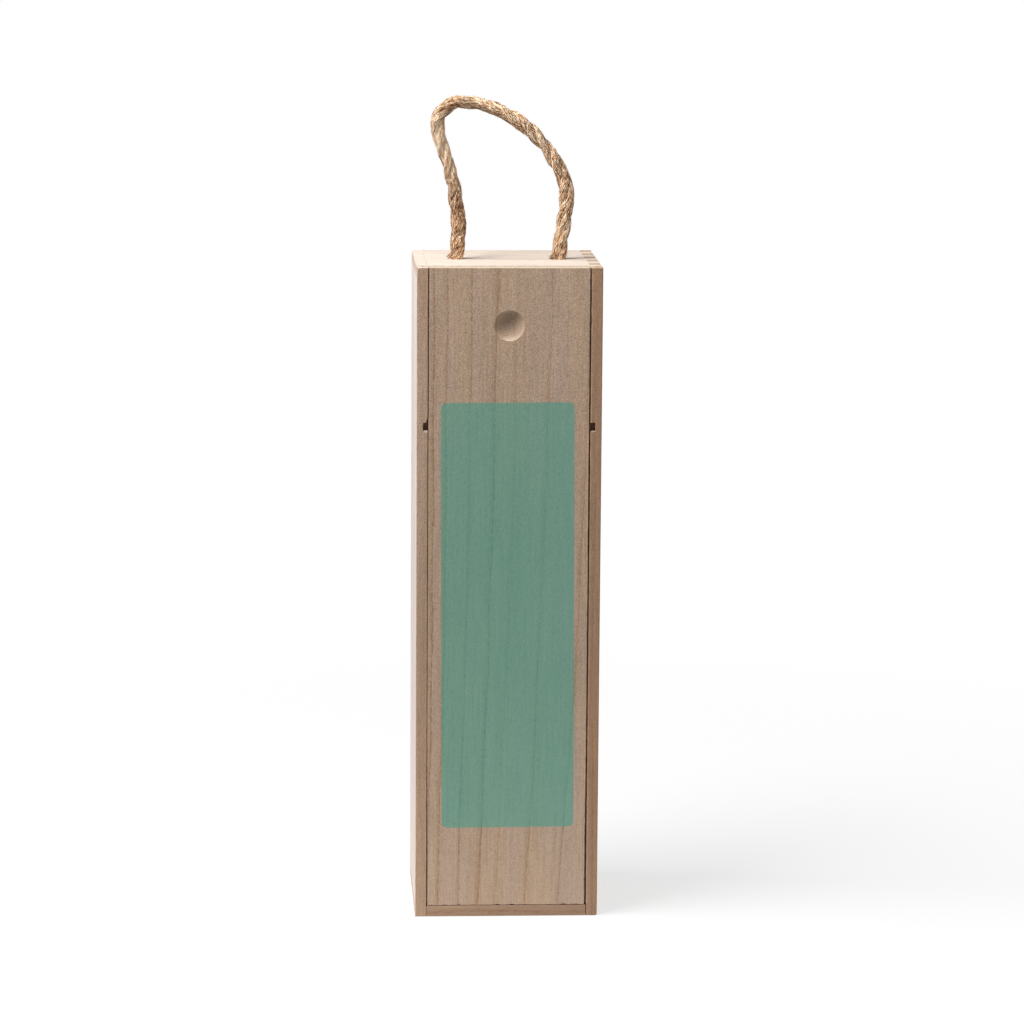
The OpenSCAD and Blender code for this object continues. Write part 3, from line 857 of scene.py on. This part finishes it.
# %% A board from its node
def refined(node, name, body, material, bands=(), worn=None, spared=None):
    """A copy of a CAD node with joined faces, worn edges and a small bevel. Edges whose
    middle lies in the spared box, as two corners in millimetres, stay sharp."""
    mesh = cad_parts[node].data.copy()
    mesh.name = name
    shape = bmesh.new()
    shape.from_mesh(mesh)
    bmesh.ops.remove_doubles(shape, verts=shape.verts, dist=WELD)
    bmesh.ops.dissolve_limit(shape, angle_limit=FLAT, verts=shape.verts, edges=shape.edges)
    for face in shape.faces:
        gentle = [FLAT < edge.calc_face_angle(0) < BEVEL_ANGLE for edge in face.edges]
        face.smooth = sum(gentle) >= 3
    for axis, low, high, step in bands:
        cut_bands(shape, axis, low, high, step)
    for edge in shape.edges:
        edge.smooth = edge.calc_face_angle(0) < BEVEL_ANGLE
    soft = [straight_and_sharp(edge) for edge in shape.edges]
    middles = np.array([(edge.verts[0].co + edge.verts[1].co) / 2 for edge in shape.edges]) / MM
    if spared:
        inside = np.all((middles > spared[0]) & (middles < spared[1]), axis=1)
        soft = np.array(soft) & ~inside
    shape.to_mesh(mesh)
    shape.free()
    if mesh.has_custom_normals:
        mesh.attributes.remove(mesh.attributes["custom_normal"])
    weight = mesh.attributes.new("bevel_weight_edge", "FLOAT", "EDGE")
    weight.data.foreach_set("value", np.array(soft, np.float32))
    if worn:
        corners = np.empty(len(mesh.vertices) * 3, np.float32)
        mesh.vertices.foreach_get("co", corners)
        moved = worn(corners.reshape(-1, 3).astype(float) / MM) * MM
        mesh.vertices.foreach_set("co", moved.astype(np.float32).ravel())
    mesh.materials.clear()
    mesh.materials.append(material)
    piece = bpy.data.objects.new(name, mesh)
    scene.collection.objects.link(piece)
    bevel = piece.modifiers.new("sanded edges", "BEVEL")
    bevel.width = SOFT_EDGE * MM
    bevel.segments = 2
    bevel.limit_method = "WEIGHT"
    bevel.use_clamp_overlap = False
    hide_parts(node)
    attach(piece, body)
    print(name, len(mesh.vertices), "corners before its bevel")
    return piece


# %% [markdown]
# ## Worn edges
# A sawn lid has no ruler-straight edges. The lid's long edges bow by a tenth or two of a
# millimetre, so the dark gaps beside it swell and thin out, and small fibres are torn along
# them and along its foot. A formula moves the corners of these edges alone. A displacement
# over the whole board would roughen its flat faces too.

# %% Worn edges
FRONT_SKIN = 1.0       # how far behind the front an edge counts as a front edge
EDGE_ZONE = 4.0        # how far from the tips of the lid's tongues its long edges are sought
FOOT_ZONE = 4.0        # the same for its foot, from the tip of its lower tongue
NICK_D = 0.45          # depth of the nicks in its foot
SLOT_FLOOR = 263.1     # height of the floor of a side board's cross slot
SILL_LEFT, SILL_RIGHT = 0.9, 0.6       # how far fibres stand up from it
SLOT_TIP = 45.8        # just short of the slot's blind end, from the middle
# How far the lid's edge lies inside its straight line, at heights in millimetres
LEFT_EDGE = [(0, 0.12), (30, 0.1), (60, -0.12), (110, -0.22), (150, -0.22), (190, -0.18),
             (250, -0.12), (290, -0.03), (350, 0.08)]
RIGHT_EDGE = [(0, 0.15), (45, 0.18), (60, 0.05), (75, -0.08), (120, -0.08), (150, 0.0),
              (170, -0.12), (190, -0.08), (210, 0.0), (350, 0.0)]


def wavering(along, size, seed):
    """Uneven line between about -1 and 1: a sum of sine waves from long to short."""
    random = np.random.default_rng(seed)
    waves = size / 1.7 ** np.arange(6)
    starts = random.uniform(0, 2 * pi, 6)
    return np.sin(along[:, None] * 2 * pi / waves + starts).sum(1) / 3


def wear_lid(places):
    """Moves the lid's front corners: its long edges waver, and its foot has small nicks
    where the saw tore out fibres."""
    x, y, z = places.T
    at_front = y < front_y + FRONT_SKIN
    at_edge = at_front & (np.abs(x) > np.abs(x).max() - EDGE_ZONE)
    rough = 0.05 * wavering(z, 23, 1) + 0.25 * np.clip(wavering(z, 5, 2) - 0.4, 0, 1)
    x = x - np.where(at_edge & (x > 0), np.interp(z, *zip(*RIGHT_EDGE)) + rough, 0)
    calm = np.interp(z, *zip(*LEFT_EDGE)) + 0.03 * wavering(z, 31, 3)
    x = x + np.where(at_edge & (x < 0), calm, 0)
    foot = at_front & (z < lid_foot + FOOT_ZONE)
    nicks = NICK_D * np.clip(wavering(x, 7, 4) - 0.3, 0, 1) + 0.04 * wavering(x, 5, 5)
    z = z + np.where(foot, nicks, 0)
    return np.stack([x, y, z], axis=1)


def wear_side(places):
    """Lets the inner front edge of a side board waver a little, and raises the fibres of its
    slot's floor a millimetre behind the front, as a blunt saw leaves them."""
    x, y, z = places.T
    inner = (y < front_y + FRONT_SKIN) & (np.abs(x) < np.abs(x).min() + 0.05)
    sill = (np.abs(y - front_y - 1) < 0.1) & (np.abs(z - SLOT_FLOOR) < 0.1) & (np.abs(x) < SLOT_TIP)
    x = x + np.where(inner, 0.06 * wavering(z, 19, 6), 0)
    z = z + np.where(sill, np.where(x < 0, SILL_LEFT, SILL_RIGHT), 0)
    return np.stack([x, y, z], axis=1)


# %% Make the boards
up_bands = [(2, 0, box_top, 3.0), (1, front_y, front_y + 2.5, 1.0)]
refined("left_side", "side_board_left", "case", left_wood, up_bands, wear_side)
refined("right_side", "side_board_right", "case", right_wood, up_bands, wear_side)
refined("top_board", "top_board_planed", "case", top_wood)
refined("bottom_board", "bottom_board_planed", "case", bottom_wood)
refined("back_panel", "back_board", "case", left_wood)
refined("neck_holder", "neck_board", "case", top_wood)
lid_bands = [(2, 0, box_top, 1.5), (0, -45.0, 45.0, 1.5)]
field_low, field_high = (np.array(corner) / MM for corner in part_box("print_field"))
refined("lid", "sliding_lid", "lid", lid_wood, lid_bands, wear_lid,
        spared=(field_low - 1, field_high + 1))
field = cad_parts["print_field"]
field.data.materials.clear()
field.data.materials.append(printed_wood)

# %% [markdown]
# ## Floor and light
# The box stands on a white studio floor. The main light is a large soft box high on the
# left and only a little to the front, so the top and the left side are bright and the
# front lies in soft light. The floor and the far background are white to the camera alone,
# and the light that they send back to the wood stays moderate.

# %% Floor
FLOOR_HALF = 6.0
POOL_GREY, ROOM_GREY = "#c8c8c8", "#787878"   # painted pool of light: the floor's brighter tone near the box, and its tone beyond
POOL_REACH = (0.15, 0.4)
SHADOW_REACH = (0.15, 0.7)   # metres from the box, over which its shadow fades to white


def floor_material():
    """Matte studio paper: white with a faint shadow to the camera, grey to other light. The
    shadow's share falls with the distance from the box. To other light the floor near the box
    is brighter, a painted pool of light."""
    material, tree = new_material("matte_studio_paper")
    rays = add_node(tree, "LightPath").outputs
    seen = add_node(tree, "Math", (rays["Is Camera Ray"], rays["Is Glossy Ray"]),
                    operation="MAXIMUM")
    seen = add_node(tree, "Math", (seen, rays["Is Transmission Ray"]), operation="MAXIMUM")
    paper = add_node(tree, "BsdfDiffuse", {"Color": colour("#e6e6e6")})
    white = add_node(tree, "Emission", {"Color": colour("#ffffff"), "Strength": 1.0})
    place = add_node(tree, "TexCoord").outputs["Object"]
    away = add_node(tree, "VectorMath", [place], operation="LENGTH")
    share = add_node(tree, "MapRange", {
        "Value": away, "From Min": SHADOW_REACH[0], "From Max": SHADOW_REACH[1],
        "To Min": 0.7, "To Max": 1.0})
    lit = add_node(tree, "MixShader", (share, paper, white))
    # painted pool of light: to other light the floor is brighter near the box
    beyond = add_node(tree, "MapRange", {
        "Value": away, "From Min": POOL_REACH[0], "From Max": POOL_REACH[1]})
    tone = add_node(tree, "Mix", (beyond, colour(POOL_GREY), colour(ROOM_GREY)),
                    data_type="RGBA")
    grey = add_node(tree, "BsdfDiffuse", {"Color": tone})
    both = add_node(tree, "MixShader", (seen, grey, lit))
    add_node(tree, "OutputMaterial", {"Surface": both})
    return material


floor_mesh = bpy.data.meshes.new("floor")
edge = FLOOR_HALF
floor_mesh.from_pydata([(-edge, -edge, 0), (edge, -edge, 0), (edge, edge, 0), (-edge, edge, 0)],
                       [], [(0, 1, 2, 3)])
floor_mesh.materials.append(floor_material())
floor = bpy.data.objects.new("floor", floor_mesh)
scene.collection.objects.link(floor)
print("floor", 2 * FLOOR_HALF, "metres wide")

# %% World
ROOM_LIGHT = 0.065     # how much of the white room lights the box


def light_world():
    """A white background to the camera, and a faint white light to everything else."""
    world = bpy.data.worlds.new("studio")
    world.use_nodes = True
    tree = world.node_tree
    tree.nodes.clear()
    rays = add_node(tree, "LightPath").outputs
    seen = add_node(tree, "Math", (rays["Is Camera Ray"], rays["Is Transmission Ray"]),
                    operation="MAXIMUM")
    fill = add_node(tree, "Background", {"Color": colour("#ffffff"), "Strength": ROOM_LIGHT})
    white = add_node(tree, "Background", {"Color": colour("#ffffff"), "Strength": 1.0})
    mixed = add_node(tree, "MixShader", (seen, fill, white))
    add_node(tree, "OutputWorld", {"Surface": mixed})
    return world


scene.world = light_world()
print("world light", ROOM_LIGHT)


# %% Lamps
AIM = 0.6              # where the lamps aim, as a share of the box's height


def soft_box(name, azimuth, elevation, distance, size, brightness):
    """A lamp with a flat, even face that aims at the box. A lamp of P watts gives a white
    surface that faces it from d metres the brightness P / (pi * d) squared, so its power is
    the wanted brightness times (pi * d) squared."""
    lamp = bpy.data.lights.new(name, "AREA")
    lamp.shape = "RECTANGLE"
    lamp.size, lamp.size_y = size
    lamp.energy = brightness * (pi * distance) ** 2
    holder = bpy.data.objects.new(name, lamp)
    round_box = Matrix.Rotation(radians(azimuth), 4, "Z")
    tipped = Matrix.Rotation(radians(90 - elevation), 4, "X")
    aim = Matrix.Translation((0, 0, box_top * MM * AIM))
    holder.matrix_world = aim @ round_box @ tipped @ Matrix.Translation((0, 0, distance))
    scene.collection.objects.link(holder)
    print(name, round(lamp.energy, 1), "watts")


soft_box("side_window", azimuth=-68, elevation=48, distance=2.2, size=(1.8, 0.95), brightness=1.6)
soft_box("ceiling_box", azimuth=-20, elevation=75, distance=2.2, size=(1.6, 1.6), brightness=0.36)
soft_box("right_card", azimuth=75, elevation=15, distance=1.5, size=(1.2, 1.2), brightness=0.4)
